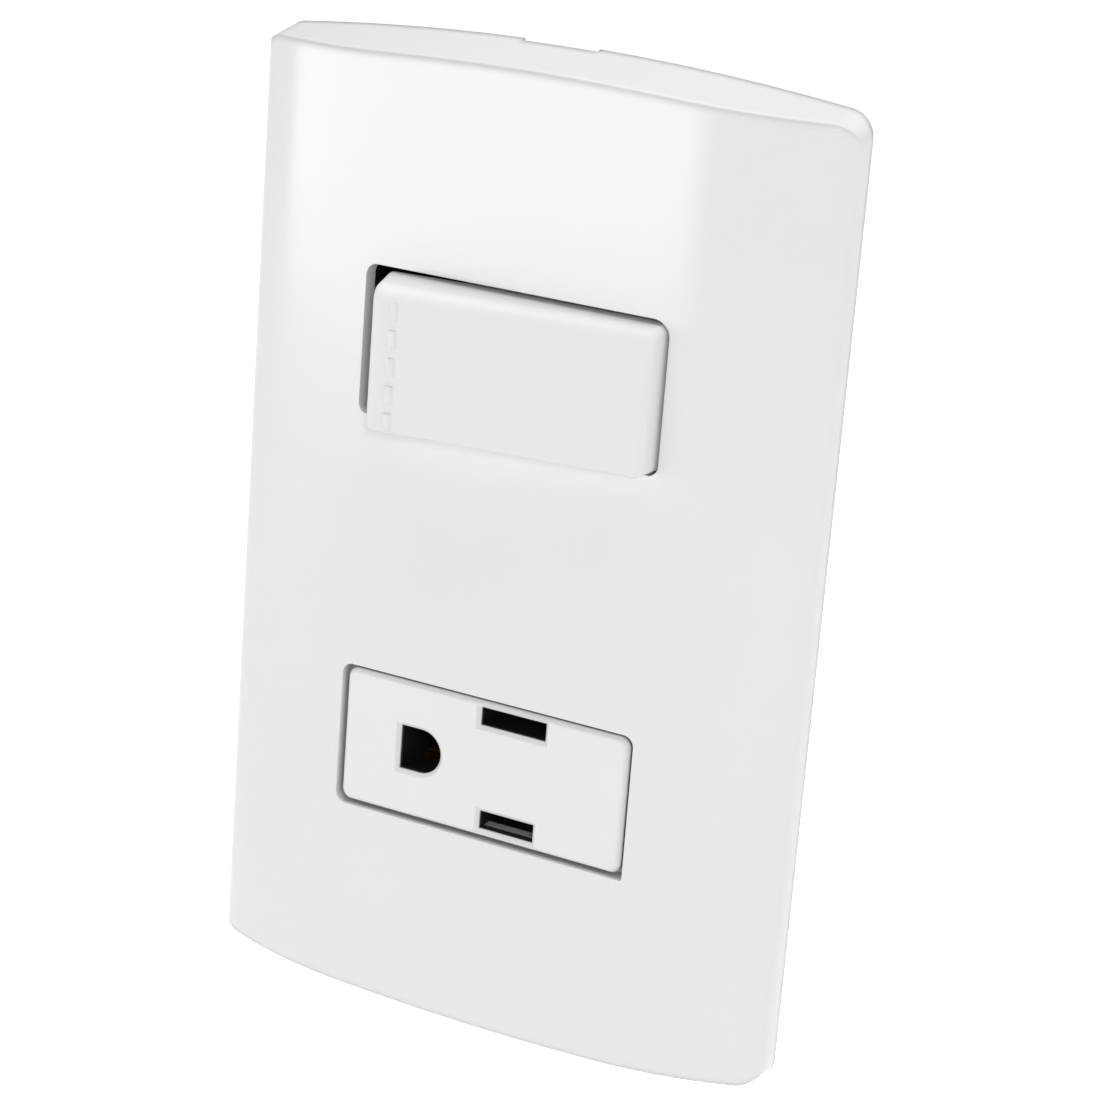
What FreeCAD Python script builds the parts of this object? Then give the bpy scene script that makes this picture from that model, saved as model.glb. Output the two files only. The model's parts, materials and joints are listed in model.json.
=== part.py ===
import FreeCAD, Part
import math
import os

V = FreeCAD.Vector

# Frame: X right, Z up, Y into the wall. The wall plane is y = 0 and the origin lies on it,
# midway between the two modules and midway between the two box screws.

# Cover plate
plate_width = 73.9
plate_top = 59.3
plate_bottom = 58.2
plate_depth = 8.28
top_taper = 2.2
bottom_taper = 1.9
rear_arch_radius = 291.0
front_arch_radius = 355.0
plan_corner_radius = 3.0
plate_wall = 2.0
crown_flat_half = 18.0
crown_radius = 45.0
crown_edge_radius = 3.0
notch_width = 9.4
notch_depth = 0.7
notch_x = -0.8
plate_rib_thickness = 1.2
plate_rib_offset = 3.2
plate_rib_margin = 3.0
plate_rib_gap = 1.0

# Windows
window_half_width = 19.23
window_half_height = 8.776
switch_window_radii = (1.4, 2.0, 1.3, 1.2)
socket_window_radii = (1.3, 1.3, 0.3, 1.3)

# Mounting frame
frame_side_gap = 9.95
frame_end_gap = 6.2
frame_thickness = 1.6
frame_corner_radius = 4.0
frame_bead_width = 1.1
frame_bead_height = 1.0
rail_height = 4.2
rail_wall = 1.6
rail_bar = 1.8
screw_spacing = 83.3
screw_slot_half_length = 4.5
screw_slot_clearance = 0.35

# Snap hooks of the plate and the ridges they catch under
hook_z = 30.0
hook_width = 7.0
hook_thickness = 1.4
hook_gap = 0.8
ridge_height = 0.5
ridge_top = 3.4
ridge_thickness = 0.6
barb_clearance = 0.2
barb_length = 0.8

# Box screws
stud_radius = 1.75
stud_neck_radius = 1.5
stud_start = 0.3
stud_length = 16.0
box_head_radius = 3.3
box_head_height = 2.2
box_head_rim = 1.2
box_head_flat_radius = 2.1
box_head_slot = 0.9

# Shells of the two modules
module_clearance = 0.2
module_corner_radius = 0.8
flange_lip = 1.4
flange_lip_z = 0.9
flange_thickness = 1.6
housing_inset = 0.3
tooth_depth = 0.9
tooth_width = 8.0
tooth_length = 2.0
tooth_gap = 0.2
latch_x = 10.0
latch_width = 5.0
latch_length = 3.5
latch_thickness = 0.7
latch_eye_width = 2.8
latch_eye_length = 1.6
latch_clearance = 0.15

# Socket face
socket_side_gap = 0.5
socket_end_gap = 0.426
socket_recess = 0.2
socket_corner_radius = 1.35
socket_edge_radius = 0.8
socket_split = 4.0
blade_x = 3.6
blade_spacing = 12.7
ground_x = -8.4
ground_radius = 2.7
neutral_slot_width = 8.5
line_slot_width = 7.1
slot_height = 2.2
lead_in = 0.45
face_lip = 1.0
face_wall = 0.7
shell_front_wall = 1.2
shell_wall = 1.5

# Contact carrier behind the socket's face
carrier_clearance = 0.1
entry_clearance = 0.15
chamber_front = -2.6
chamber_clearance = 0.4

# Contacts and terminals
strip_thickness = 0.6
clip_flare = 0.7
clip_flare_length = 1.6
clip_mouth_gap = 0.3
clip_web_y = 9.0
blade_gap = 1.3
ground_gap = 4.6
blade_clip_half_width = 4.0
line_clip_half_width = 3.3
ground_clip_half_width = 3.0
clip_slit_width = 0.6
clip_slit_length = 7.0
terminal_inset = 6.4
ground_terminal_inset = 6.0
blade_terminal_z = 5.2
pad_half_width = 4.5
pad_half_height = 3.6
neck_half_height = 2.0
pocket_half_width = 3.6
pocket_half_height = 3.3
pocket_depth = 10.0
terminal_shank_radius = 1.6
terminal_head_radius = 2.9
terminal_head_height = 2.2
terminal_head_y = 6.4
terminal_tip = 1.0
thread_clearance = 0.05
driver_slot_width = 0.7
driver_slot_depth = 1.0
clamp_half_width = 3.2
clamp_half_height = 2.9
clamp_thickness = 1.1
clamp_lip = 0.9
clamp_hole_clearance = 0.2

# Rocker, in its own upright position: u along the face, v outwards from the pivot
pivot_y = 4.4
rest_tilt = 6.8
rocker_face_v = 17.4
rocker_skirt_v = 10.0
rocker_window_gap = 0.31
rocker_side_gap = 0.476
rocker_end_draft = 0.22
rocker_side_draft = 0.01
rocker_top_radius = 1.9
rocker_end_radius = 0.9
rocker_bottom_radius = 0.3
rocker_wall = 1.5
ear_thickness = 1.2
ear_root_half_width = 4.5
ear_tip_radius = 2.3
trunnion_radius = 1.25
trunnion_inset = 1.0
bearing_clearance = 0.05
rib_thickness = 0.9
rib_bottom_v = 12.0
bar_count = 5
bar_pitch = 3.18
bar_drop = 0.72
bar_half_height = 1.02
bar_half_width = 0.5
bar_raise = 0.3
bar_from_end = 2.6

# Plunger and spring, on the rocker's centre line
sleeve_radius = 2.8
sleeve_bottom_v = 0.5
sleeve_roof_v = 14.0
plunger_radius = 1.4
plunger_fit = 0.08
plunger_tip_v = -7.0
plunger_nose_radius = 0.6
plunger_nose_length = 1.2
plunger_top_v = 5.0
plunger_guide_radius = 0.6
plunger_guide_length = 2.0
spring_wire_radius = 0.2
spring_radius = 1.0
spring_turns = 4
spring_wire_sides = 4

# Collar, seesaw contact and its terminals
collar_end_gap = 0.5
collar_side_gap = 0.376
collar_end_wall = 1.3
collar_cheek = 2.15
switch_split = 8.0
housing_wall = 1.4
arm_gap = 0.3
arm_thickness = 1.0
arm_half_height = 2.5
arm_left = 9.4
arm_end_gap = 1.29
arm_tee_length = 1.6
arm_tee_half_height = 3.6
knife_radius = 0.5
knife_clearance = 0.06
knife_web = 0.6
post_height = 2.6
cheek_thickness = 0.6
cheek_half_width = 1.4
cheek_gap = 0.4
cheek_rise = 1.5
tip_x = 8.0
tip_radius = 1.3
tip_height = 0.8
tip_dome_radius = 4.0
fixed_tip_radius = 1.6
contact_gap = 0.1
stop_gap = 0.15
stop_half_length = 0.9
stop_inner_z = 2.6
stop_outer_z = 4.0

# Rocker and collar, from the window that the rocker tilts in
tilt = math.radians(rest_tilt)
window_v = pivot_y + plate_depth
rocker_half_length = (
    (window_half_width - rocker_window_gap - window_v * math.sin(tilt)) / math.cos(tilt)
    - rocker_end_draft * (rocker_face_v - window_v)
)
rocker_half_height = window_half_height - rocker_side_gap
skirt_drop = rocker_face_v - rocker_skirt_v
skirt_reach = (
    (rocker_half_length + rocker_end_draft * skirt_drop) * math.cos(tilt) + rocker_skirt_v * math.sin(tilt)
)
collar_inner_half_width = skirt_reach + collar_end_gap
collar_inner_half_height = rocker_half_height + rocker_side_draft * skirt_drop + collar_side_gap
module_half_width = collar_inner_half_width + collar_end_wall
module_half_height = collar_inner_half_height + collar_cheek
trunnion_end = module_half_height - trunnion_inset

# Derived places
plate_half_width = plate_width / 2
frame_half_width = plate_half_width - frame_side_gap
frame_half_height = min(plate_top, plate_bottom) - frame_end_gap
plate_rib_x = frame_half_width + plate_rib_offset
plate_rib_z = frame_half_height - plate_rib_margin
screw_z = screw_spacing / 2
rail_front = -rail_height
bay_half_width = module_half_width + module_clearance
bay_half_height = module_half_height + module_clearance
module_pitch = 2 * bay_half_height + rail_bar
rail_half_width = bay_half_width + rail_wall
rail_half_height = module_pitch + bay_half_height + rail_wall
flange_front = rail_front - flange_thickness
flange_half_width = module_half_width + flange_lip
flange_half_height = module_half_height + flange_lip_z
socket_front = -plate_depth + socket_recess
socket_half_width = window_half_width - socket_side_gap
socket_half_height = window_half_height - socket_end_gap
lip_y = socket_front + face_lip
carrier_shoulder = flange_front + shell_front_wall
boss_half_width = socket_half_width - face_wall
boss_half_height = socket_half_height - face_wall
carrier_half_width = module_half_width - shell_wall
carrier_half_height = module_half_height - shell_wall
terminal_x = module_half_width - terminal_inset
ground_terminal_x = ground_terminal_inset - module_half_width
arm_right = terminal_x - pad_half_width - arm_end_gap
clip_mouth_y = chamber_front + clip_mouth_gap
socket_floor = clip_web_y + strip_thickness
bearing_radius = trunnion_radius + bearing_clearance
arm_front = pivot_y - plunger_tip_v + arm_gap
knife_y = arm_front + arm_thickness
strip_front = knife_y + post_height
switch_floor = strip_front + strip_thickness


def box(x0, x1, y0, y1, z0, z1):
    return Part.makeBox(x1 - x0, y1 - y0, z1 - z0, V(x0, y0, z0))


def centred_box(half_x, half_z, y0, y1, x=0.0, z=0.0):
    return box(x - half_x, x + half_x, y0, y1, z - half_z, z + half_z)


def cylinder_y(x, z, radius, y0, y1):
    return Part.makeCylinder(radius, y1 - y0, V(x, y0, z), V(0, 1, 0))


def cylinder_z(x, y, radius, z0, z1):
    return Part.makeCylinder(radius, z1 - z0, V(x, y, z0), V(0, 0, 1))


def arc(a, b, c):
    return Part.Arc(a, b, c).toShape()


def line(a, b):
    return Part.LineSegment(a, b).toShape()


def joined(first, others):
    return first.fuse(others).removeSplitter()


def rounded_rectangle(half_x, half_z, radii, y, x=0.0, z=0.0):
    # Corners in the order top left, top right, bottom right, bottom left, seen from the front
    corners = [(-1, 1), (1, 1), (1, -1), (-1, -1)]
    starts = []
    edges = []
    for (sx, sz), r in zip(corners, radii):
        centre = V(x + sx * (half_x - r), y, z + sz * (half_z - r))
        on_side = centre + V(sx * r, 0, 0)
        on_end = centre + V(0, 0, sz * r)
        middle = centre + V(sx * r * math.sqrt(0.5), 0, sz * r * math.sqrt(0.5))
        first, last = (on_side, on_end) if sx * sz < 0 else (on_end, on_side)
        starts.append((first, last))
        edges.append(arc(first, middle, last))
    for i, (first, last) in enumerate(starts):
        edges.append(line(last, starts[(i + 1) % 4][0]))
    return Part.Wire(Part.__sortEdges__(edges))


def rounded_block(half_x, half_z, radius, y0, y1):
    wire = rounded_rectangle(half_x, half_z, [radius] * 4, y0)
    return Part.Face(wire).extrude(V(0, y1 - y0, 0))


def polygon_prism(points, direction):
    return Part.Face(Part.makePolygon(points + [points[0]])).extrude(direction)


def front_edges(shape, y):
    return [e for e in shape.Edges if all(abs(v.Point.y - y) < 1e-4 for v in e.Vertexes)]


def plate_outline(y, inset):
    # The rim of the plate at depth y: arched ends, straight sides, rounded corners
    share = -y / plate_depth
    arch = rear_arch_radius + (front_arch_radius - rear_arch_radius) * share - inset
    half = plate_half_width - inset
    radius = plan_corner_radius - inset / 2
    corner_x = half - radius
    corners = []
    for sign, reach, taper in ((1, plate_top, top_taper), (-1, plate_bottom, bottom_taper)):
        height = reach - taper * share - inset
        centre_z = height - arch
        corner_z = centre_z + math.sqrt((arch - radius) ** 2 - corner_x ** 2)
        lean = math.atan2(corner_z - centre_z, corner_x)
        touch = V(arch * math.cos(lean), y, sign * (centre_z + arch * math.sin(lean)))
        middle = V(
            corner_x + radius * math.cos(lean / 2), y, sign * (corner_z + radius * math.sin(lean / 2))
        )
        side = V(half, y, sign * corner_z)
        corners.append((touch, middle, side, V(0, y, sign * height)))
    top, bottom = corners

    def left(p):
        return V(-p.x, p.y, p.z)

    return Part.Wire([
        arc(left(top[0]), top[3], top[0]),
        arc(top[0], top[1], top[2]),
        line(top[2], bottom[2]),
        arc(bottom[2], bottom[1], bottom[0]),
        arc(bottom[0], bottom[3], left(bottom[0])),
        arc(left(bottom[0]), left(bottom[1]), left(bottom[2])),
        line(left(bottom[2]), left(top[2])),
        arc(left(top[2]), left(top[1]), left(top[0])),
    ])


def crowned_section(inset, back):
    # Section across the plate: flat in the middle, falling away in an arc, rounded into the sides
    front = -plate_depth + inset
    radius = crown_radius - inset
    edge = crown_edge_radius - inset / 2
    half = plate_half_width - inset
    centre = V(crown_flat_half, front + radius, 0)
    edge_x = half - edge
    edge_y = centre.y - math.sqrt((radius - edge) ** 2 - (edge_x - centre.x) ** 2)
    edge_centre = V(edge_x, edge_y, 0)
    outward = (edge_centre - centre).normalize()
    touch = centre + outward * radius
    half_way = (V(centre.x, front, 0) + touch) * 0.5 - centre
    crown_mid = centre + half_way.normalize() * radius
    side = V(half, edge_y, 0)
    edge_mid = edge_centre + (outward + V(1, 0, 0)).normalize() * edge

    def left(p):
        return V(-p.x, p.y, p.z)

    start = V(crown_flat_half, front, 0)
    return Part.Wire([
        line(left(start), start),
        arc(start, crown_mid, touch),
        arc(touch, edge_mid, side),
        line(side, V(half, back, 0)),
        line(V(half, back, 0), V(-half, back, 0)),
        line(V(-half, back, 0), left(side)),
        arc(left(side), left(edge_mid), left(touch)),
        arc(left(touch), left(crown_mid), left(start)),
    ])


def plate_body(inset, back):
    outline = Part.makeLoft([plate_outline(back, inset), plate_outline(-plate_depth, inset)], True, True)
    section = Part.Face(crowned_section(inset, back))
    section.translate(V(0, 0, -plate_width))
    return outline.common(section.extrude(V(0, 0, 2 * plate_width)))


def snap_hook(side, z, body):
    # A post behind the plate's face, with a barb that catches under the frame's ridge
    inner = rail_half_width + hook_gap
    barb_top = -ridge_top + ridge_thickness + barb_clearance
    tip = barb_top + barb_length
    z0 = z - hook_width / 2
    post = box(inner, inner + hook_thickness, -plate_depth, tip, z0, z0 + hook_width)
    barb = polygon_prism(
        [
            V(inner, barb_top, z0),
            V(rail_half_width + barb_clearance, barb_top, z0),
            V(inner, tip, z0),
        ],
        V(0, 0, hook_width),
    )
    hook = post.common(body).fuse(barb)
    if side < 0:
        hook = hook.mirror(V(0, 0, 0), V(1, 0, 0))
    return hook


def cover_plate():
    body = plate_body(0.0, 0.0)
    shell = body.cut(plate_body(plate_wall, 1.0))
    for z, radii in ((module_pitch, switch_window_radii), (-module_pitch, socket_window_radii)):
        wire = rounded_rectangle(window_half_width, window_half_height, radii, -plate_depth - 1, 0, z)
        shell = shell.cut(Part.Face(wire).extrude(V(0, plate_depth, 0)))
    extras = []
    for side in (-1, 1):
        x = side * plate_rib_x
        long_rib = centred_box(plate_rib_thickness / 2, plate_rib_z, -plate_depth, -plate_rib_gap, x)
        cross_rib = centred_box(
            plate_rib_x, plate_rib_thickness / 2, -plate_depth, -rail_height, 0, side * plate_rib_z
        )
        extras += [long_rib.common(body), cross_rib.common(body)]
        extras += [snap_hook(side, z, body) for z in (-hook_z, hook_z)]
    shell = joined(shell, extras)
    notch = box(
        notch_x - notch_width / 2, notch_x + notch_width / 2, -notch_depth, 1,
        plate_top - 2 * plate_wall, plate_top + 1,
    )
    return shell.cut(notch)


def slot_cut(z):
    half = screw_slot_half_length
    radius = stud_radius + screw_slot_clearance
    wire = rounded_rectangle(half, radius, [radius - 0.001] * 4, -frame_thickness - 1, 0, z)
    return Part.Face(wire).extrude(V(0, frame_thickness + 2, 0))


def mounting_frame():
    base = rounded_block(frame_half_width, frame_half_height, frame_corner_radius, -frame_thickness, 0)
    bead_front = -frame_thickness - frame_bead_height
    bead = rounded_block(
        frame_half_width, frame_half_height, frame_corner_radius, bead_front, -frame_thickness
    ).cut(rounded_block(
        frame_half_width - frame_bead_width, frame_half_height - frame_bead_width,
        frame_corner_radius - frame_bead_width, bead_front - 1, 0,
    ))
    rail = rounded_block(rail_half_width, rail_half_height, rail_wall, rail_front, 0)
    ridges = [
        box(
            min(side * rail_half_width, side * (rail_half_width + ridge_height)),
            max(side * rail_half_width, side * (rail_half_width + ridge_height)),
            -ridge_top, -ridge_top + ridge_thickness, z - hook_width / 2, z + hook_width / 2,
        )
        for side in (-1, 1)
        for z in (-hook_z, hook_z)
    ]
    body = joined(base, [bead, rail] + ridges)
    for bay in (-1, 0, 1):
        bay_z = bay * module_pitch
        body = body.cut(centred_box(bay_half_width, bay_half_height, rail_front - 1, 1, 0, bay_z))
    for side in (-1, 1):
        body = body.cut(slot_cut(side * screw_z))
    return body


def box_screw(z):
    # Radius and depth of each corner of the half section, from the head to the point
    seat = -frame_thickness
    head = seat - box_head_height
    corners = [
        (0, head),
        (box_head_flat_radius, head),
        (box_head_radius, seat - box_head_rim),
        (box_head_radius, seat),
        (stud_neck_radius, seat),
        (stud_neck_radius, stud_start),
        (stud_radius, stud_start),
        (stud_radius, stud_length),
        (0, stud_length),
        (0, head),
    ]
    outline = Part.makePolygon([V(radius, y, 0) for radius, y in corners])
    screw = Part.Face(outline).revolve(V(0, 0, 0), V(0, 1, 0), 360)
    slot = centred_box(box_head_slot / 2, box_head_radius + 1, head - 1, seat - box_head_rim)
    screw = screw.cut(slot)
    screw.translate(V(0, 0, z))
    return screw


def side_tooth(side):
    # Sprung tooth that holds a module behind the frame
    x = side * module_half_width
    z0 = -tooth_width / 2
    return polygon_prism(
        [V(x, tooth_gap, z0), V(x + side * tooth_depth, tooth_gap, z0), V(x, tooth_gap + tooth_length, z0)],
        V(0, 0, tooth_width),
    )


def latch_recess(x, side, split):
    # Recess in a module's front shell for one latch of its housing, with the catch left standing
    inner = module_half_height - latch_thickness - latch_clearance
    recess = box(
        x - latch_width / 2 - latch_clearance, x + latch_width / 2 + latch_clearance,
        split - latch_length - latch_clearance, split, inner, module_half_height + 1,
    )
    eye_y = split - latch_length / 2
    catch = polygon_prism(
        [
            V(x - latch_eye_width / 2, eye_y - latch_eye_length / 2, inner),
            V(x - latch_eye_width / 2, eye_y - latch_eye_length / 2, module_half_height),
            V(x - latch_eye_width / 2, eye_y + latch_eye_length / 2, inner),
        ],
        V(latch_eye_width, 0, 0),
    )
    cut = recess.cut(catch)
    return cut if side > 0 else cut.mirror(V(0, 0, 0), V(0, 0, 1))


def housing_latch(x, side, split):
    # Tongue with an eye that snaps over the catch of the front shell
    outer = module_half_height - module_clearance / 2
    inner = outer - latch_thickness + module_clearance / 2
    tongue = box(x - latch_width / 2, x + latch_width / 2, split - latch_length, split, inner, outer)
    root = box(
        x - latch_width / 2, x + latch_width / 2, split, split + latch_length,
        module_half_height - housing_inset - latch_thickness, outer,
    )
    eye_y = split - latch_length / 2
    eye = box(
        x - latch_eye_width / 2 - latch_clearance, x + latch_eye_width / 2 + latch_clearance,
        eye_y - latch_eye_length / 2 - latch_clearance, eye_y + latch_eye_length / 2 + latch_clearance,
        0, module_half_height,
    )
    latch = tongue.fuse(root).cut(eye)
    return latch if side > 0 else latch.mirror(V(0, 0, 0), V(0, 0, 1))


def module_shell(split):
    skirt = rounded_block(module_half_width, module_half_height, module_corner_radius, flange_front, split)
    flange = rounded_block(
        flange_half_width, flange_half_height, module_corner_radius, flange_front, rail_front
    )
    shell = joined(skirt, [flange, side_tooth(-1), side_tooth(1)])
    for x in (-latch_x, latch_x):
        for side in (-1, 1):
            shell = shell.cut(latch_recess(x, side, split))
    return shell


def module_housing(split, floor):
    half_x = module_half_width - housing_inset
    half_z = module_half_height - housing_inset
    block = rounded_block(half_x, half_z, module_corner_radius, split, floor + pocket_depth)
    latches = [housing_latch(x, side, split) for x in (-latch_x, latch_x) for side in (-1, 1)]
    return joined(block, latches)


def terminal_pocket(x, z, floor):
    return centred_box(pocket_half_width, pocket_half_height, floor - 1, floor + pocket_depth + 1, x, z)


def terminal_screw(x, z, floor):
    head = floor + terminal_head_y
    shank = cylinder_y(x, z, terminal_shank_radius, floor - strip_thickness - terminal_tip, head)
    cap = cylinder_y(x, z, terminal_head_radius, head, head + terminal_head_height)
    top = head + terminal_head_height
    slot = centred_box(
        terminal_head_radius + 1, driver_slot_width / 2, top - driver_slot_depth, top + 1, x, z
    )
    return joined(shank, [cap]).cut(slot)


def clamp_plate(x, z, floor):
    top = floor + terminal_head_y
    plate = centred_box(clamp_half_width, clamp_half_height, top - clamp_thickness - clamp_lip, top, x, z)
    channel = centred_box(
        clamp_half_width - clamp_lip, clamp_half_height + 1,
        top - clamp_thickness - clamp_lip - 1, top - clamp_thickness, x, z,
    )
    hole = cylinder_y(x, z, terminal_shank_radius + clamp_hole_clearance, top - clamp_thickness - 1, top + 1)
    return plate.cut(channel).cut(hole)


def terminal_pad(x, z, floor):
    pad = centred_box(pad_half_width, pad_half_height, floor - strip_thickness, floor, x, z)
    hole = cylinder_y(
        x, z, terminal_shank_radius + thread_clearance, floor - strip_thickness - 1, floor + 1
    )
    return pad, hole


def spring_clip(x, z, half_width, gap, pad_x, pad_z):
    # Two sprung leaves with a flared mouth, a web behind them and a strip to the terminal
    inner = gap / 2
    outer = inner + strip_thickness
    bend = clip_mouth_y + clip_flare_length
    back = clip_web_y + strip_thickness
    profile = [
        (clip_mouth_y, inner + clip_flare),
        (clip_mouth_y, outer + clip_flare),
        (bend, outer),
        (back, outer),
        (back, -outer),
        (bend, -outer),
        (clip_mouth_y, -outer - clip_flare),
        (clip_mouth_y, -inner - clip_flare),
        (bend, -inner),
        (clip_web_y, -inner),
        (clip_web_y, inner),
        (bend, inner),
    ]
    clip = polygon_prism([V(x - half_width, y, z + dz) for y, dz in profile], V(2 * half_width, 0, 0))
    slit = centred_box(clip_slit_width / 2, outer + clip_flare + 1, clip_mouth_y - 1,
                       clip_mouth_y + clip_slit_length, x, z)
    strip = box(min(x, pad_x), max(x, pad_x), clip_web_y, back, z - min(outer, neck_half_height),
                z + min(outer, neck_half_height))
    pad, hole = terminal_pad(pad_x, pad_z, socket_floor)
    return joined(clip.cut(slit), [strip, pad]).cut(hole)


def d_outline(grow, y):
    reach = ground_radius + grow
    x0 = ground_x - reach
    return Part.Wire([
        line(V(x0, y, -reach), V(ground_x, y, -reach)),
        arc(V(ground_x, y, -reach), V(ground_x + reach, y, 0), V(ground_x, y, reach)),
        line(V(ground_x, y, reach), V(x0, y, reach)),
        line(V(x0, y, reach), V(x0, y, -reach)),
    ])


def slot_outline(z, width):
    def outline(grow, y):
        half_x = width / 2 + grow
        half_z = slot_height / 2 + grow
        return Part.makePolygon([
            V(blade_x - half_x, y, z - half_z), V(blade_x + half_x, y, z - half_z),
            V(blade_x + half_x, y, z + half_z), V(blade_x - half_x, y, z + half_z),
            V(blade_x - half_x, y, z - half_z),
        ])
    return outline


def entry_hole(outline):
    # Straight hole through the face with a chamfered mouth
    hole = Part.Face(outline(0, socket_front)).extrude(V(0, face_lip, 0))
    mouth = Part.makeLoft([outline(lead_in, socket_front), outline(0, socket_front + lead_in)], True, True)
    return hole.fuse(mouth)


def carrier_entry(outline):
    # Straight way through the contact carrier, a little wider than the hole in front of it
    bounds = outline(0, lip_y).BoundBox
    grow = entry_clearance
    return box(
        bounds.XMin - grow, bounds.XMax + grow, lip_y - 1, chamber_front + 1,
        bounds.ZMin - grow, bounds.ZMax + grow,
    )


def clip_chamber(x, z, half_width, gap, y0, y1):
    half_z = gap / 2 + strip_thickness + clip_flare + chamber_clearance
    return centred_box(half_width + chamber_clearance, half_z, y0, y1, x, z)


# Each clip: centre x, centre z, half width, gap, terminal x, terminal z
clips = {
    "neutral": (blade_x, blade_spacing / 2, blade_clip_half_width, blade_gap, terminal_x, blade_terminal_z),
    "line": (blade_x, -blade_spacing / 2, line_clip_half_width, blade_gap, terminal_x, -blade_terminal_z),
    "ground": (ground_x, 0.0, ground_clip_half_width, ground_gap, ground_terminal_x, 0.0),
}


outlines = [
    slot_outline(blade_spacing / 2, neutral_slot_width),
    slot_outline(-blade_spacing / 2, line_slot_width),
    d_outline,
]


def socket_face():
    # Thin shell whose face is carried by the dark contact carrier behind it
    shell = module_shell(socket_split)
    block = rounded_block(
        socket_half_width, socket_half_height, socket_corner_radius, socket_front, flange_front
    )
    block = block.makeFillet(socket_edge_radius, front_edges(block, socket_front))
    shell = joined(shell, [block])
    shell = shell.cut(centred_box(boss_half_width, boss_half_height, lip_y, carrier_shoulder))
    for outline in outlines:
        shell = shell.cut(entry_hole(outline))
    return shell.cut(centred_box(carrier_half_width, carrier_half_height, carrier_shoulder, socket_split + 1))


def contact_carrier():
    # Dark block that fills the face from behind and guides the blades to the clips
    play = carrier_clearance
    boss = centred_box(boss_half_width - play, boss_half_height - play, lip_y, carrier_shoulder)
    body = centred_box(carrier_half_width - play, carrier_half_height - play, carrier_shoulder, socket_split)
    carrier = joined(body, [boss])
    for outline in outlines:
        carrier = carrier.cut(carrier_entry(outline))
    for x, z, half_width, gap, pad_x, pad_z in clips.values():
        carrier = carrier.cut(clip_chamber(x, z, half_width, gap, chamber_front, socket_split + 1))
    return carrier


def socket_housing():
    block = module_housing(socket_split, socket_floor)
    for x, z, half_width, gap, pad_x, pad_z in clips.values():
        block = block.cut(clip_chamber(x, z, half_width, gap, socket_split - 1, socket_floor))
        reach = pad_half_width + chamber_clearance / 2
        half_z = pad_half_height + chamber_clearance / 2
        block = block.cut(box(
            min(x, pad_x - reach), max(x, pad_x + reach), socket_split - 1, socket_floor,
            pad_z - half_z, pad_z + half_z,
        ))
        block = block.cut(terminal_pocket(pad_x, pad_z, socket_floor))
    return block


def upright_rocker_block(v0, v1, inset):
    # Block between heights v0 and v1 over the pivot, drafted on all four sides
    def across(v):
        return rocker_half_length + rocker_end_draft * (rocker_face_v - v) - inset

    def along(v):
        return rocker_half_height + rocker_side_draft * (rocker_face_v - v) - inset

    y0 = pivot_y - v0
    y1 = pivot_y - v1
    far = across(v0) + along(v0)
    plan = polygon_prism(
        [
            V(-across(v0), y0, -far), V(across(v0), y0, -far),
            V(across(v1), y1, -far), V(-across(v1), y1, -far),
        ],
        V(0, 0, 2 * far),
    )
    side = polygon_prism(
        [V(-far, y0, -along(v0)), V(-far, y0, along(v0)), V(-far, y1, along(v1)), V(-far, y1, -along(v1))],
        V(2 * far, 0, 0),
    )
    return plan.common(side)


def rocker_body():
    # Broad round along the upper edge of the face, tighter ones at its ends and a fine one below
    face_y = pivot_y - rocker_face_v
    skirt_y = pivot_y - rocker_skirt_v
    outer = upright_rocker_block(rocker_skirt_v, rocker_face_v, 0)

    def on_end(p):
        reach = rocker_half_length + rocker_end_draft * (p.y - face_y)
        return abs(abs(p.x) - reach) < 1e-3

    def long_edges(low):
        return [
            e for e in front_edges(outer, face_y)
            if e.Length > rocker_half_length and (e.Vertexes[0].Point.z < 0) == low
        ]

    outer = outer.makeFillet(rocker_top_radius, long_edges(False))
    ends = [
        e for e in outer.Edges
        if all(on_end(v.Point) for v in e.Vertexes)
        and e.Vertexes[0].Point.x * e.Vertexes[-1].Point.x > 0
        and not all(abs(v.Point.y - skirt_y) < 1e-3 for v in e.Vertexes)
    ]
    outer = outer.makeFillet(rocker_end_radius, ends)
    outer = outer.makeFillet(rocker_bottom_radius, long_edges(True))
    return outer.cut(upright_rocker_block(rocker_skirt_v - 1, rocker_face_v - rocker_wall, rocker_wall))


def rocker_bar(i):
    # One of the raised bars at the end of the face, round across
    face_y = pivot_y - rocker_face_v
    x = -rocker_half_length + bar_from_end
    z = (i - (bar_count - 1) / 2) * bar_pitch - bar_drop - bar_half_height
    foot = face_y + rocker_wall / 2
    section = Part.Wire([
        arc(V(x - bar_half_width, face_y, z), V(x, face_y - bar_raise, z), V(x + bar_half_width, face_y, z)),
        line(V(x + bar_half_width, face_y, z), V(x + bar_half_width, foot, z)),
        line(V(x + bar_half_width, foot, z), V(x - bar_half_width, foot, z)),
        line(V(x - bar_half_width, foot, z), V(x - bar_half_width, face_y, z)),
    ])
    return Part.Face(section).extrude(V(0, 0, 2 * bar_half_height))


def rocker_ear(side):
    # Arm from the rocker's wall down to the pivot, with its trunnion
    outer = rocker_half_height
    z0 = outer - ear_thickness if side > 0 else -outer
    root_y = pivot_y - rocker_skirt_v - 2
    blade = polygon_prism(
        [
            V(-ear_root_half_width, root_y, z0), V(ear_root_half_width, root_y, z0),
            V(ear_tip_radius, pivot_y, z0), V(-ear_tip_radius, pivot_y, z0),
        ],
        V(0, 0, ear_thickness),
    )
    eye = cylinder_z(0, pivot_y, ear_tip_radius, z0, z0 + ear_thickness)
    inner = outer - ear_thickness
    z_low = inner if side > 0 else -trunnion_end
    trunnion = cylinder_z(0, pivot_y, trunnion_radius, z_low, z_low + trunnion_end - inner)
    return [blade, eye, trunnion]


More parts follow.
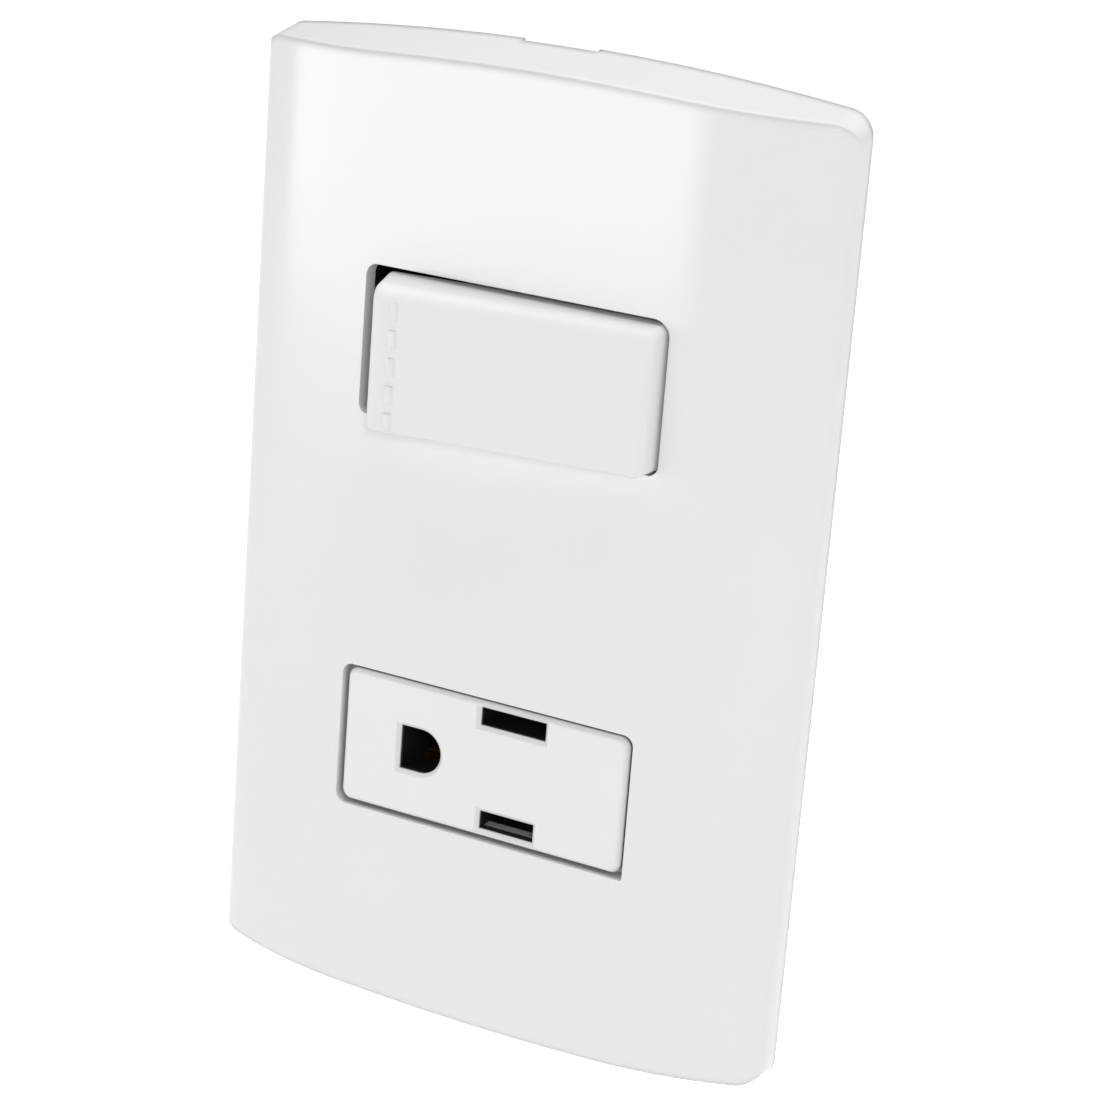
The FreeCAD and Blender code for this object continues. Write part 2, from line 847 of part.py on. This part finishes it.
def tilted(shape):
    shape.rotate(V(0, pivot_y, 0), V(0, 0, 1), rest_tilt)
    return shape


def rocker():
    roof_y = pivot_y - rocker_face_v + rocker_wall
    sleeve = cylinder_y(0, 0, sleeve_radius, roof_y - 0.5, pivot_y - sleeve_bottom_v)
    rib = centred_box(
        rocker_half_length - rocker_wall, rib_thickness / 2, roof_y - 0.5, pivot_y - rib_bottom_v
    )
    bars = [rocker_bar(i) for i in range(bar_count)]
    body = joined(rocker_body(), rocker_ear(1) + rocker_ear(-1) + [sleeve, rib] + bars)
    bore_top = pivot_y - sleeve_roof_v
    bore = cylinder_y(0, 0, plunger_radius + plunger_fit, bore_top, pivot_y)
    return tilted(body.cut(bore))


def plunger():
    tip_y = pivot_y - plunger_tip_v
    top_y = pivot_y - plunger_top_v
    nose_y = tip_y - plunger_nose_length
    stem = cylinder_y(0, 0, plunger_radius, top_y, nose_y)
    nose = Part.makeCone(
        plunger_radius, plunger_nose_radius, plunger_nose_length, V(0, nose_y, 0), V(0, 1, 0)
    )
    guide = cylinder_y(0, 0, plunger_guide_radius, top_y - plunger_guide_length, top_y)
    return tilted(joined(stem, [nose, guide]))


def plunger_spring():
    length = sleeve_roof_v - plunger_top_v - 2 * spring_wire_radius
    helix = Part.makeHelix(length / spring_turns, length, spring_radius)
    first = helix.Edges[0]
    start = first.valueAt(first.FirstParameter)
    along = first.tangentAt(first.FirstParameter)
    out = V(start.x, start.y, 0).normalize() * spring_wire_radius
    up = along.cross(out)
    turns = [2 * math.pi * i / spring_wire_sides for i in range(spring_wire_sides + 1)]
    ring = Part.makePolygon([start + out * math.cos(a) + up * math.sin(a) for a in turns])
    coil = helix.makePipeShell([ring], True, True)
    coil.rotate(V(0, 0, 0), V(1, 0, 0), -90)
    coil.translate(V(0, pivot_y - sleeve_roof_v + spring_wire_radius, 0))
    return tilted(coil)


def switch_collar():
    shell = module_shell(switch_split)
    shell = shell.cut(centred_box(
        collar_inner_half_width, collar_inner_half_height, flange_front - 1, switch_split + 1
    ))
    return shell.cut(cylinder_z(0, pivot_y, bearing_radius, -module_half_height - 1, module_half_height + 1))


def switch_housing():
    block = module_housing(switch_split, switch_floor)
    half_x = module_half_width - housing_inset - housing_wall
    half_z = module_half_height - housing_inset - housing_wall
    block = block.cut(centred_box(half_x, half_z, switch_split - 1, switch_floor))
    for x in (-terminal_x, terminal_x):
        block = block.cut(terminal_pocket(x, 0, switch_floor))
    stop_x = (arm_right - arm_tee_length / 2) * math.cos(tilt)
    stop_y = knife_y + arm_right * math.sin(tilt) + stop_gap
    stops = [
        box(
            stop_x - stop_half_length, stop_x + stop_half_length, stop_y, switch_floor + 0.5,
            min(side * stop_inner_z, side * stop_outer_z), max(side * stop_inner_z, side * stop_outer_z),
        )
        for side in (-1, 1)
    ]
    return joined(block, stops)


def swung(shape):
    shape.rotate(V(0, knife_y, 0), V(0, 0, 1), -rest_tilt)
    return shape


def seesaw_contact():
    arm = box(-arm_left, arm_right, arm_front, knife_y, -arm_half_height, arm_half_height)
    tee = box(
        arm_right - arm_tee_length, arm_right, arm_front, knife_y, -arm_tee_half_height, arm_tee_half_height
    )
    groove = cylinder_z(0, knife_y, knife_radius + knife_clearance, -arm_half_height - 1, arm_half_height + 1)
    return swung(joined(arm, [tee]).cut(groove))


def domed_tip(x, y, radius, height, outward):
    # Contact button whose face is a shallow dome, its foot at y
    centre = y + outward * (height - tip_dome_radius)
    low = min(y, y + outward * height)
    disc = cylinder_y(x, 0, radius, low, low + height)
    return disc.common(Part.makeSphere(tip_dome_radius, V(x, centre, 0)))


def moving_contact_tip():
    return swung(domed_tip(-tip_x, knife_y, tip_radius, tip_height, 1))


def fixed_tip_place():
    x = -tip_x * math.cos(tilt) + tip_height * math.sin(tilt)
    y = knife_y + tip_x * math.sin(tilt) + tip_height * math.cos(tilt) + contact_gap
    return x, y


def fixed_contact_tip():
    x, y = fixed_tip_place()
    return domed_tip(x, strip_front, fixed_tip_radius, strip_front - y, -1)


def fixed_terminal():
    x, y = fixed_tip_place()
    pad, hole = terminal_pad(-terminal_x, 0, switch_floor)
    neck_end = x + neck_half_height
    neck = box(-terminal_x, neck_end, strip_front, switch_floor, -neck_half_height, neck_half_height)
    return joined(pad, [neck]).cut(hole)


def pivot_terminal():
    # Strip with the knife edge that carries the arm, between two cheeks
    cheek_z = arm_half_height + cheek_gap
    cheek_end = cheek_z + cheek_thickness
    pad, hole = terminal_pad(terminal_x, 0, switch_floor)
    neck = box(0, terminal_x, strip_front, switch_floor, -neck_half_height, neck_half_height)
    foot = box(-neck_half_height, neck_half_height, strip_front, switch_floor, -cheek_end, cheek_end)
    web = box(-knife_web / 2, knife_web / 2, knife_y, strip_front, -arm_half_height, arm_half_height)
    edge = cylinder_z(0, knife_y, knife_radius, -arm_half_height, arm_half_height)
    cheeks = [
        box(
            -cheek_half_width, cheek_half_width, arm_front - cheek_rise, strip_front,
            min(side * cheek_z, side * cheek_end), max(side * cheek_z, side * cheek_end),
        )
        for side in (-1, 1)
    ]
    return joined(pad, [neck, foot, web, edge] + cheeks).cut(hole)


def group(make, places):
    return Part.makeCompound([make(*place) for place in places])


def lifted(shape, z):
    shape.translate(V(0, 0, z))
    return shape


def build():
    nodes = {
        "cover_plate": cover_plate(),
        "mounting_frame": mounting_frame(),
        "box_screws": group(box_screw, [(-screw_z,), (screw_z,)]),
    }
    switch = {
        "rocker": rocker(),
        "plunger": plunger(),
        "plunger_spring": plunger_spring(),
        "switch_collar": switch_collar(),
        "switch_housing": switch_housing(),
        "seesaw_contact": seesaw_contact(),
        "moving_contact_tip": moving_contact_tip(),
        "fixed_contact_tip": fixed_contact_tip(),
        "pivot_terminal": pivot_terminal(),
        "fixed_terminal": fixed_terminal(),
    }
    switch_places = [(-terminal_x, 0, switch_floor), (terminal_x, 0, switch_floor)]
    switch["switch_terminal_screws"] = group(terminal_screw, switch_places)
    switch["switch_clamp_plates"] = group(clamp_plate, switch_places)
    socket = {
        "socket_face": socket_face(),
        "contact_carrier": contact_carrier(),
        "socket_housing": socket_housing(),
    }
    socket_places = []
    for name, clip in clips.items():
        place = (clip[4], clip[5], socket_floor)
        socket_places.append(place)
        socket[name + "_contact"] = spring_clip(*clip)
        socket[name + "_screw"] = terminal_screw(*place)
    socket["socket_clamp_plates"] = group(clamp_plate, socket_places)
    # The switch module rests on the lower edge of its bay
    for name, shape in switch.items():
        nodes[name] = lifted(shape, module_pitch - module_clearance)
    for name, shape in socket.items():
        nodes[name] = lifted(shape, -module_pitch)
    return nodes


os.makedirs("parts", exist_ok=True)
for name, shape in build().items():
    if not shape.isValid():
        print("not valid:", name)
    print(name, len(shape.Solids), round(shape.Volume, 2))
    shape.exportStep("parts/" + name + ".step")
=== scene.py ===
import json
import math

import bpy
from mathutils import Matrix, Vector


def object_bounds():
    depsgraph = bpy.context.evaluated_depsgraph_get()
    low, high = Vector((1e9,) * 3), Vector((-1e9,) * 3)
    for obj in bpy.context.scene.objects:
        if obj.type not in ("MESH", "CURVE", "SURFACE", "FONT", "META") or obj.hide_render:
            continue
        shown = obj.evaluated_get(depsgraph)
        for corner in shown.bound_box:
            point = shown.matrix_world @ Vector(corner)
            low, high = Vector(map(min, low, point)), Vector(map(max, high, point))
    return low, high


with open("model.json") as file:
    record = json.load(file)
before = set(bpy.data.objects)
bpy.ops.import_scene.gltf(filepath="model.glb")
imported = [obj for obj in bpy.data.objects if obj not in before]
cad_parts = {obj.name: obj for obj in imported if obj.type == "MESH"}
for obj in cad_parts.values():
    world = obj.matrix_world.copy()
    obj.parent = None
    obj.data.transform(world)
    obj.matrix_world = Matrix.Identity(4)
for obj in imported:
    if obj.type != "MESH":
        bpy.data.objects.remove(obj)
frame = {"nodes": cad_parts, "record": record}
cad_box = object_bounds()

MM = 0.001
PHOTO_WIDTH = 1106

# Camera, fitted to the plate's outline and both windows
CAMERA_PLACE = Vector((161.92, -309.65, 111.34)) * MM
CAMERA_AZIMUTH = 0.4742
CAMERA_ELEVATION = -0.3072
CAMERA_ROLL = -0.0792
FOCAL_PIXELS = 3170.72
SENSOR_WIDTH = 36.0

# Floor and light
FLOOR_DROP = 0.15
FLOOR_SIZE = 8.0
FLOOR_COLOUR = 0.9
FLOOR_GLOW = 0.72
SURROUND_LEVEL = 0.35

WHITE = (1.0, 1.0, 1.0, 1.0)

# Rounding of sharp edges, larger at the plate's rim than round its windows
EDGE_ROUND = 0.12 * MM
RIM_ROUND = 1.5 * MM
RIM_START = 28 * MM
RIM_END = 32 * MM
RIM_HEIGHT_EXCESS = 21 * MM

# Depths between which the walls of the socket's holes and gaps get painted shade, a dark colour
# that stands in for the shade inside them
GAP_SHADE_START = -7.7 * MM
GAP_SHADE_FULL = -7.4 * MM
GAP_SHADE_END = -5.9 * MM
RAMP_LENGTH = 0.2 * MM

# Sizes of the surface features, in noise cells per metre
CLOUD_SCALE = 38
WEAR_SCALE = 700
GLOSS_SCALE = 160
GRAIN_SCALE = 2600
FLOW_SCALE = 95
TARNISH_SCALE = 210
ROLLING_SCALE = 900
PAINT_CLOUD_SCALE = 300
PAINT_GLOSS_SCALE = 500
PAINT_GRAIN_SCALE = 1500

# Strength of the surface features
NOISE_LOW = 0.3
NOISE_HIGH = 0.7
CLOUD_SHADE = 0.985
WEAR_SHADE = 0.88
GLOSS_SPREAD = 0.08
RUBBED_GLOSS = 0.7
TARNISH_SHADE = 0.82
METAL_BUMP = 0.01 * MM
PLASTIC_IOR = 1.5


def camera():
    data = bpy.data.cameras.new("camera")
    data.sensor_fit = "HORIZONTAL"
    data.sensor_width = SENSOR_WIDTH
    data.lens = FOCAL_PIXELS / PHOTO_WIDTH * SENSOR_WIDTH
    data.clip_start = 0.01
    data.clip_end = 20
    obj = bpy.data.objects.new("camera", data)
    bpy.context.scene.collection.objects.link(obj)
    turn = (
        Matrix.Rotation(CAMERA_AZIMUTH, 4, "Z")
        @ Matrix.Rotation(CAMERA_ELEVATION, 4, "X")
        @ Matrix.Rotation(CAMERA_ROLL, 4, "Y")
    )
    looks_along_y = Matrix.Rotation(math.radians(90), 4, "X")
    obj.matrix_world = Matrix.Translation(CAMERA_PLACE) @ turn @ looks_along_y
    bpy.context.scene.camera = obj


def node(tree, kind, **values):
    made = tree.nodes.new(kind)
    for name, value in values.items():
        if name in made.inputs:
            made.inputs[name].default_value = value
        else:
            setattr(made, name, value)
    return made


def new_material(name):
    material = bpy.data.materials.new(name)
    material.use_nodes = True
    tree = material.node_tree
    shader = tree.nodes["Principled BSDF"]
    return material, tree, shader


def noise(tree, scale, detail=3.0, roughness=0.55, stretch=(1, 1, 1)):
    place = node(tree, "ShaderNodeTexCoord")
    spread = node(tree, "ShaderNodeMapping")
    spread.inputs["Scale"].default_value = stretch
    tree.links.new(place.outputs["Object"], spread.inputs["Vector"])
    made = node(tree, "ShaderNodeTexNoise", Scale=scale, Detail=detail, Roughness=roughness)
    tree.links.new(spread.outputs["Vector"], made.inputs["Vector"])
    return made.outputs["Fac"]


def spread_values(tree, source, low, high):
    made = node(tree, "ShaderNodeMapRange")
    made.inputs["From Min"].default_value = NOISE_LOW
    made.inputs["From Max"].default_value = NOISE_HIGH
    made.inputs["To Min"].default_value = low
    made.inputs["To Max"].default_value = high
    tree.links.new(source, made.inputs["Value"])
    return made.outputs["Result"]


def mixed_colour(tree, source, a, b):
    made = node(tree, "ShaderNodeMix", data_type="RGBA")
    made.inputs["A"].default_value = (*a, 1)
    made.inputs["B"].default_value = (*b, 1)
    tree.links.new(source, made.inputs["Factor"])
    return made.outputs["Result"]


def bump(tree, source, distance, strength, after=None):
    made = node(tree, "ShaderNodeBump", Strength=strength, Distance=distance)
    tree.links.new(source, made.inputs["Height"])
    if after is not None:
        tree.links.new(after, made.inputs["Normal"])
    return made.outputs["Normal"]


def shaded(colour, share):
    return tuple(c * share for c in colour)


def softened_edges(tree, radius, rim_radius):
    """Normal rounded over the sharp edges, and a mask that is 1 along them."""
    rounded = node(tree, "ShaderNodeBevel", samples=6, Radius=radius)
    if rim_radius > radius:
        tree.links.new(spread_over_rim(tree, radius, rim_radius), rounded.inputs["Radius"])
    shape = node(tree, "ShaderNodeNewGeometry")
    dot = node(tree, "ShaderNodeVectorMath", operation="DOT_PRODUCT")
    tree.links.new(rounded.outputs["Normal"], dot.inputs[0])
    tree.links.new(shape.outputs["Normal"], dot.inputs[1])
    mask = node(tree, "ShaderNodeMapRange")
    mask.inputs["From Min"].default_value = 0.995
    mask.inputs["From Max"].default_value = 0.85
    tree.links.new(dot.outputs["Value"], mask.inputs["Value"])
    return rounded.outputs["Normal"], mask.outputs["Result"]


def spread_over_rim(tree, inside, outside):
    """A value that goes from inside to outside towards the rim of the plate."""
    place = node(tree, "ShaderNodeNewGeometry")
    split = node(tree, "ShaderNodeSeparateXYZ")
    across = node(tree, "ShaderNodeMath", operation="ABSOLUTE")
    along = node(tree, "ShaderNodeMath", operation="ABSOLUTE")
    shorter = node(tree, "ShaderNodeMath", operation="SUBTRACT")
    shorter.inputs[1].default_value = RIM_HEIGHT_EXCESS
    away = node(tree, "ShaderNodeMath", operation="MAXIMUM")
    grow = node(tree, "ShaderNodeMapRange")
    grow.inputs["From Min"].default_value = RIM_START
    grow.inputs["From Max"].default_value = RIM_END
    grow.inputs["To Min"].default_value = inside
    grow.inputs["To Max"].default_value = outside
    tree.links.new(place.outputs["Position"], split.inputs[0])
    tree.links.new(split.outputs["X"], across.inputs[0])
    tree.links.new(split.outputs["Z"], along.inputs[0])
    tree.links.new(along.outputs["Value"], shorter.inputs[0])
    tree.links.new(across.outputs["Value"], away.inputs[0])
    tree.links.new(shorter.outputs["Value"], away.inputs[1])
    tree.links.new(away.outputs["Value"], grow.inputs["Value"])
    return grow.outputs["Result"]


def ramp(tree, source, start, end):
    """0 up to start and 1 from end on."""
    made = node(tree, "ShaderNodeMapRange")
    made.inputs["From Min"].default_value = start
    made.inputs["From Max"].default_value = end
    tree.links.new(source, made.inputs["Value"])
    return made.outputs["Result"]


def painted_gap_shade(tree):
    """Mask for painted shade: 1 on the walls of the holes and gaps of the socket's face, below its
    rounded edges.
    """
    place = node(tree, "ShaderNodeNewGeometry")
    split = node(tree, "ShaderNodeSeparateXYZ")
    tree.links.new(place.outputs["Position"], split.inputs[0])
    both = node(tree, "ShaderNodeMath", operation="MULTIPLY")
    tree.links.new(ramp(tree, split.outputs["Y"], GAP_SHADE_START, GAP_SHADE_FULL), both.inputs[0])
    tree.links.new(ramp(tree, split.outputs["Y"], GAP_SHADE_END, GAP_SHADE_END - RAMP_LENGTH), both.inputs[1])
    return both.outputs["Value"]


def moulded_plastic(name, colour, gloss, texture, worn=0.5, rim_radius=0.0, painted_shade_colour=None):
    """Injection-moulded plastic: faint cloudiness, fine surface texture, edges rubbed smoother,
    and painted shade on the walls of holes and gaps where a shade colour is given.
    """
    material, tree, shader = new_material(name)
    normal, edge = softened_edges(tree, EDGE_ROUND, rim_radius)
    cloud = spread_values(tree, noise(tree, CLOUD_SCALE, 2), 0, 1)
    body = mixed_colour(tree, cloud, shaded(colour, CLOUD_SHADE), colour)
    patchy = node(tree, "ShaderNodeMath", operation="MULTIPLY")
    tree.links.new(edge, patchy.inputs[0])
    tree.links.new(spread_values(tree, noise(tree, WEAR_SCALE, 4), 0, worn), patchy.inputs[1])
    wear = node(tree, "ShaderNodeMix", data_type="RGBA")
    wear.inputs["B"].default_value = (*shaded(colour, WEAR_SHADE), 1)
    tree.links.new(patchy.outputs["Value"], wear.inputs["Factor"])
    tree.links.new(body, wear.inputs["A"])
    surface = wear.outputs["Result"]
    # painted shade: the walls of the holes and gaps turn dark by depth, standing in for the shade
    # inside them
    if painted_shade_colour:
        painted_shade_mix = node(tree, "ShaderNodeMix", data_type="RGBA")
        painted_shade_mix.inputs["B"].default_value = (*painted_shade_colour, 1)
        tree.links.new(painted_gap_shade(tree), painted_shade_mix.inputs["Factor"])
        tree.links.new(surface, painted_shade_mix.inputs["A"])
        surface = painted_shade_mix.outputs["Result"]
    tree.links.new(surface, shader.inputs["Base Color"])
    rough = spread_values(
        tree, noise(tree, GLOSS_SCALE, 4), gloss * (1 - GLOSS_SPREAD), gloss * (1 + GLOSS_SPREAD)
    )
    rubbed = node(tree, "ShaderNodeMix", data_type="FLOAT")
    rubbed.inputs["B"].default_value = gloss * RUBBED_GLOSS
    tree.links.new(edge, rubbed.inputs["Factor"])
    tree.links.new(rough, rubbed.inputs["A"])
    tree.links.new(rubbed.outputs["Result"], shader.inputs["Roughness"])
    grain = bump(tree, noise(tree, GRAIN_SCALE, 3), texture * MM, 0.35, normal)
    flow = bump(tree, noise(tree, FLOW_SCALE, 2), texture * 2 * MM, 0.2, grain)
    tree.links.new(flow, shader.inputs["Normal"])
    shader.inputs["IOR"].default_value = PLASTIC_IOR
    return material


def rolled_metal(name, colour, roughness, stretch):
    """Drawn or stamped metal: fine lines along the rolling direction and a slight tarnish."""
    material, tree, shader = new_material(name)
    tarnish = spread_values(tree, noise(tree, TARNISH_SCALE, 4), 0, 1)
    body = mixed_colour(tree, tarnish, shaded(colour, TARNISH_SHADE), colour)
    tree.links.new(body, shader.inputs["Base Color"])
    lines = noise(tree, ROLLING_SCALE, 3, stretch=stretch)
    rough = spread_values(tree, lines, roughness * 0.75, roughness * 1.3)
    tree.links.new(rough, shader.inputs["Roughness"])
    tree.links.new(bump(tree, lines, METAL_BUMP, 0.3), shader.inputs["Normal"])
    shader.inputs["Metallic"].default_value = 1.0
    return material


def painted_metal(name, colour):
    """Screw with a thin coloured coat."""
    material, tree, shader = new_material(name)
    cloud = spread_values(tree, noise(tree, PAINT_CLOUD_SCALE, 4), 0, 1)
    body = mixed_colour(tree, cloud, shaded(colour, 0.8), colour)
    tree.links.new(body, shader.inputs["Base Color"])
    rough = spread_values(tree, noise(tree, PAINT_GLOSS_SCALE, 3), 0.3, 0.45)
    tree.links.new(rough, shader.inputs["Roughness"])
    grain = bump(tree, noise(tree, PAINT_GRAIN_SCALE, 2), METAL_BUMP, 0.3)
    tree.links.new(grain, shader.inputs["Normal"])
    return material


def finishes():
    along_x = (0.15, 4, 4)
    along_y = (4, 0.15, 4)
    return {
        "plate_plastic": moulded_plastic(
            "plate_plastic", (0.83, 0.83, 0.825), 0.16, 0.008, rim_radius=RIM_ROUND
        ),
        "rocker_plastic": moulded_plastic("rocker_plastic", (0.82, 0.82, 0.815), 0.42, 0.014),
        # the socket's face gets painted shade on the walls of its holes and gaps
        "socket_plastic": moulded_plastic(
            "socket_plastic", (0.84, 0.84, 0.835), 0.36, 0.012, painted_shade_colour=(0.06, 0.05, 0.042)
        ),
        "frame_plastic": moulded_plastic("frame_plastic", (0.42, 0.43, 0.44), 0.55, 0.025),
        "housing_plastic": moulded_plastic("housing_plastic", (0.045, 0.045, 0.048), 0.5, 0.03),
        "carrier_plastic": moulded_plastic("carrier_plastic", (0.012, 0.011, 0.01), 0.55, 0.02),
        "plunger_plastic": moulded_plastic("plunger_plastic", (0.62, 0.6, 0.52), 0.4, 0.02),
        "contact_brass": rolled_metal("contact_brass", (0.72, 0.5, 0.2), 0.3, along_x),
        "contact_silver": rolled_metal("contact_silver", (0.8, 0.79, 0.76), 0.28, (1, 1, 1)),
        "terminal_brass": rolled_metal("terminal_brass", (0.74, 0.54, 0.24), 0.28, along_y),
        "terminal_steel": rolled_metal("terminal_steel", (0.6, 0.6, 0.61), 0.34, along_x),
        "ground_screw_green": painted_metal("ground_screw_green", (0.03, 0.14, 0.045)),
        "screw_steel": rolled_metal("screw_steel", (0.62, 0.62, 0.63), 0.32, along_y),
        "spring_steel": rolled_metal("spring_steel", (0.56, 0.56, 0.58), 0.3, (2, 2, 2)),
    }


def dress_nodes():
    made = finishes()
    for part in frame["record"]["subparts"]:
        obj = frame["nodes"][part["node"]]
        for place in obj.material_slots:
            place.material = made[part["material_slot"]]


def area_light(name, place, target, size, power):
    data = bpy.data.lights.new(name, "AREA")
    data.shape = "RECTANGLE"
    data.size, data.size_y = size
    data.energy = power
    obj = bpy.data.objects.new(name, data)
    bpy.context.scene.collection.objects.link(obj)
    obj.location = place
    obj.rotation_euler = (Vector(target) - Vector(place)).to_track_quat("-Z", "Y").to_euler()
    return obj


def lights():
    centre = (0, 0, 0)
    area_light("key", (-0.70, -0.80, -0.09), centre, (1.0, 0.34), 3.9)
    area_light("front", (0.5, -0.8, 0.36), centre, (0.12, 0.12), 1.9)
    area_light("top", (0.0, 0.0, 0.95), centre, (0.9, 0.6), 6.2)
    right = area_light("right", (0.95, 0.0, 0.12), centre, (0.6, 0.9), 2.4)
    right.visible_glossy = False


def surroundings():
    """Even studio light; the camera sees a white background."""
    world = bpy.data.worlds.new("surroundings")
    bpy.context.scene.world = world
    world.use_nodes = True
    tree = world.node_tree
    tree.nodes.clear()
    seen = node(tree, "ShaderNodeBackground", Color=WHITE, Strength=1.0)
    light = node(tree, "ShaderNodeBackground", Color=WHITE, Strength=SURROUND_LEVEL)
    pick = node(tree, "ShaderNodeMixShader")
    out = node(tree, "ShaderNodeOutputWorld")
    path = node(tree, "ShaderNodeLightPath")
    tree.links.new(path.outputs["Is Camera Ray"], pick.inputs[0])
    tree.links.new(light.outputs[0], pick.inputs[1])
    tree.links.new(seen.outputs[0], pick.inputs[2])
    tree.links.new(pick.outputs[0], out.inputs["Surface"])


def seen_ray(tree):
    """1 for rays from the camera and for reflected and transmitted ones."""
    path = node(tree, "ShaderNodeLightPath")
    reflected = node(tree, "ShaderNodeMath", operation="MAXIMUM")
    tree.links.new(path.outputs["Is Glossy Ray"], reflected.inputs[0])
    tree.links.new(path.outputs["Is Transmission Ray"], reflected.inputs[1])
    either = node(tree, "ShaderNodeMath", operation="MAXIMUM")
    tree.links.new(path.outputs["Is Camera Ray"], either.inputs[0])
    tree.links.new(reflected.outputs["Value"], either.inputs[1])
    return either.outputs["Value"]


def floor():
    """Plain pale floor under the plate: it looks white, and darkens where the part shades it."""
    low = cad_box[0].z - FLOOR_DROP
    half = FLOOR_SIZE / 2
    corners = [(-half, -half, low), (half, -half, low), (half, half, low), (-half, half, low)]
    mesh = bpy.data.meshes.new("floor")
    mesh.from_pydata(corners, [], [(0, 1, 2, 3)])
    obj = bpy.data.objects.new("floor", mesh)
    bpy.context.scene.collection.objects.link(obj)
    material, tree, shader = new_material("floor")
    shader.inputs["Base Color"].default_value = (FLOOR_COLOUR, FLOOR_COLOUR, FLOOR_COLOUR, 1)
    shader.inputs["Roughness"].default_value = 0.9
    glow = node(tree, "ShaderNodeEmission", Color=WHITE, Strength=FLOOR_GLOW)
    bright = node(tree, "ShaderNodeAddShader")
    pick = node(tree, "ShaderNodeMixShader")
    out = tree.nodes["Material Output"]
    tree.links.new(shader.outputs[0], bright.inputs[0])
    tree.links.new(glow.outputs[0], bright.inputs[1])
    tree.links.new(seen_ray(tree), pick.inputs[0])
    tree.links.new(shader.outputs[0], pick.inputs[1])
    tree.links.new(bright.outputs[0], pick.inputs[2])
    tree.links.new(pick.outputs[0], out.inputs["Surface"])
    obj.data.materials.append(material)


camera()
dress_nodes()
surroundings()
floor()
lights()
bpy.context.scene.view_settings.view_transform = "Standard"
